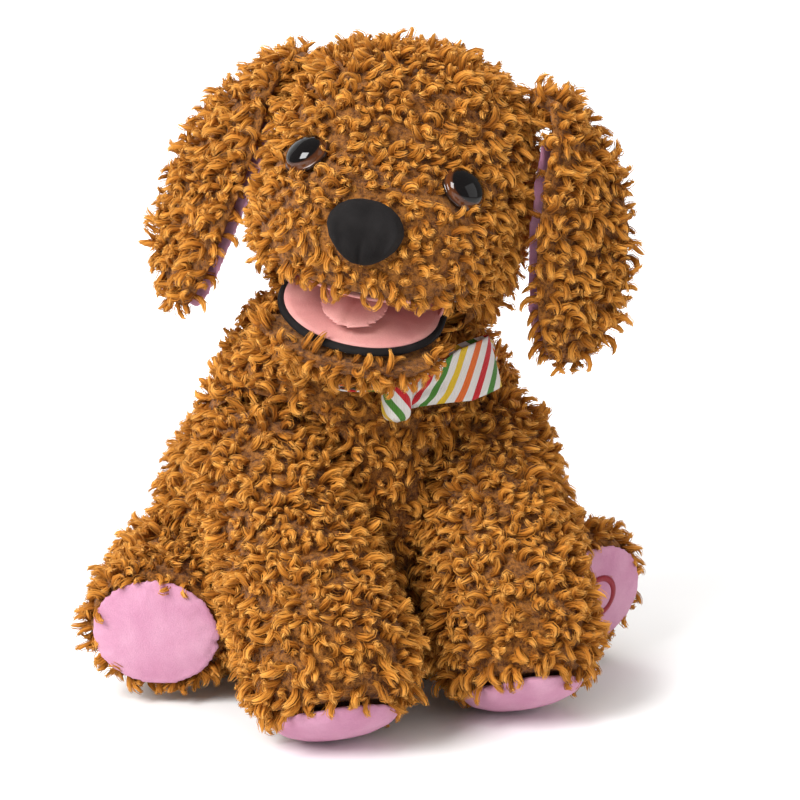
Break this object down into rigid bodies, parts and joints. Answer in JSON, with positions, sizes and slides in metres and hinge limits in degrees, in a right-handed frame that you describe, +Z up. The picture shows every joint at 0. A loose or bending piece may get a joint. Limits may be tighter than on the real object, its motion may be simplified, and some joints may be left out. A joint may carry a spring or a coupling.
{
  "type": "interactive plush puppy",
  "caption": "Seated soft puppy with a turning head, a motor-driven mouth, floppy ears, swinging legs, a press switch in a foot and a sound box.",
  "frame": {"origin": "on the seat plane under the middle of the body, between the shoulders and the tail, in the seat fabric just in front of the battery hatch", "axes": "+Z up from the seat; the puppy's chest looks along -Y; +X is the puppy's own left. Its head is turned towards its right and tipped."},
  "size_m": [0.242, 0.2447, 0.2622],
  "materials": {
    "frame": "moulded",
    "mouth": "short pink velour",
    "black_cloth": "black velour",
    "fur": "long curled pile plush",
    "stuffing": "loose fibre fill",
    "eye": "polished",
    "steel": "plated",
    "gear": "moulded acetal",
    "sole": "short pink velour",
    "case": "fine texture",
    "button": "moulded",
    "ribbon": "ribbed ribbon with printed stripes",
    "cell": "wrapped cell",
    "board": "solder mask"
  },
  "bodies": {
    "torso": {"torso_skin": "fur", "torso_stuffing": "stuffing", "neck_socket": "frame", "collar_ribbon": "ribbon", "bow_loop_left": "ribbon", "bow_loop_right": "ribbon", "bow_knot": "ribbon", "battery_case": "case", "battery_cell_1": "cell", "battery_cell_2": "cell", "battery_cell_3": "cell", "contact_flat": "steel", "contact_spring": "steel", "circuit_board": "board", "speaker": "steel", "case_cover": "case"},
    "head": {"head_skin": "fur", "head_stuffing": "stuffing", "head_frame": "frame", "jaw_pin": "steel", "palate_plate": "frame", "palate_lining": "mouth", "jaw_motor": "steel", "neck_post": "frame", "neck_clip": "steel", "eye_left": "eye", "eye_right": "eye", "eye_washer_left": "frame", "eye_washer_right": "frame", "nose": "black_cloth"},
    "jaw": {"jaw_plate": "frame", "jaw_lining": "mouth", "tongue": "mouth", "lip_piping": "black_cloth", "chin_plush": "fur"},
    "pinion": {"jaw_pinion": "gear"},
    "ear_left": {"ear_plush_left": "fur", "ear_lining_left": "sole"},
    "ear_right": {"ear_plush_right": "fur", "ear_lining_right": "sole"},
    "leg_front_left": {"front_leg_left": "fur", "front_sole_left": "sole"},
    "leg_front_right": {"front_leg_right": "fur", "front_sole_right": "sole"},
    "leg_hind_left": {"hind_leg_left": "fur", "hind_sole_left": "sole", "press_switch_base": "case", "foot_lead": "case"},
    "leg_hind_right": {"hind_leg_right": "fur", "hind_sole_right": "sole"},
    "button": {"press_button": "button"},
    "tail": {"tail": "fur"},
    "power_switch": {"power_switch": "frame"},
    "battery_door": {"battery_door": "case", "door_screw": "steel"}
  },
  "joints": [
    {"name": "neck_turn", "type": "hinge", "parent": "torso", "child": "head", "pos_m": [0.00024, -0.01816, 0.1482], "axis": [0.1892, -0.0862, 0.9781], "range_deg": [-15, 15]},
    {"name": "jaw_hinge", "type": "hinge", "parent": "head", "child": "jaw", "pos_m": [-0.0054, -0.04306, 0.17266], "axis": [0.8901, -0.4056, -0.2079], "range_deg": [-13, 4]},
    {"name": "pinion_spin", "type": "hinge", "parent": "head", "child": "pinion", "pos_m": [0.00574, -0.03165, 0.19807], "axis": [0.8901, -0.4056, -0.2079], "range_deg": [-16, 52]},
    {"name": "ear_left_lift", "type": "hinge", "parent": "head", "child": "ear_left", "pos_m": [0.05458, -0.05721, 0.24057], "axis": [-0.4147, -0.91, 0], "range_deg": [0, 25]},
    {"name": "ear_right_lift", "type": "hinge", "parent": "head", "child": "ear_right", "pos_m": [-0.02628, -0.02036, 0.25537], "axis": [0.4147, 0.91, 0], "range_deg": [0, 25]},
    {"name": "front_leg_left_raise", "type": "hinge", "parent": "torso", "child": "leg_front_left", "pos_m": [0.048, -0.024, 0.091], "axis": [-1, 0, 0], "range_deg": [0, 25]},
    {"name": "front_leg_right_raise", "type": "hinge", "parent": "torso", "child": "leg_front_right", "pos_m": [-0.048, -0.024, 0.091], "axis": [-1, 0, 0], "range_deg": [0, 25]},
    {"name": "hind_leg_left_swing", "type": "hinge", "parent": "torso", "child": "leg_hind_left", "pos_m": [0.071, 0.02, 0.041], "axis": [0, 0, 1], "range_deg": [0, 12]},
    {"name": "hind_leg_right_swing", "type": "hinge", "parent": "torso", "child": "leg_hind_right", "pos_m": [-0.071, 0.02, 0.041], "axis": [0, 0, -1], "range_deg": [0, 12]},
    {"name": "press_button_slide", "type": "slide", "parent": "leg_hind_left", "child": "button", "axis": [-0.3553, 0.9207, 0.1615], "range_m": [0, 0.0015]},
    {"name": "tail_wag", "type": "hinge", "parent": "torso", "child": "tail", "pos_m": [0, 0.082, 0.03], "axis": [0, 0, 1], "range_deg": [-15, 15]},
    {"name": "power_switch_slide", "type": "slide", "parent": "torso", "child": "power_switch", "axis": [0, 1, 0], "range_m": [0, 0.004]},
    {"name": "battery_door_lift", "type": "slide", "parent": "torso", "child": "battery_door", "axis": [0, 0, -1], "range_m": [0, 0.02]}
  ],
  "couplings": [
    {"joint": "pinion_spin", "follows": "jaw_hinge", "ratio": -4}
  ]
}
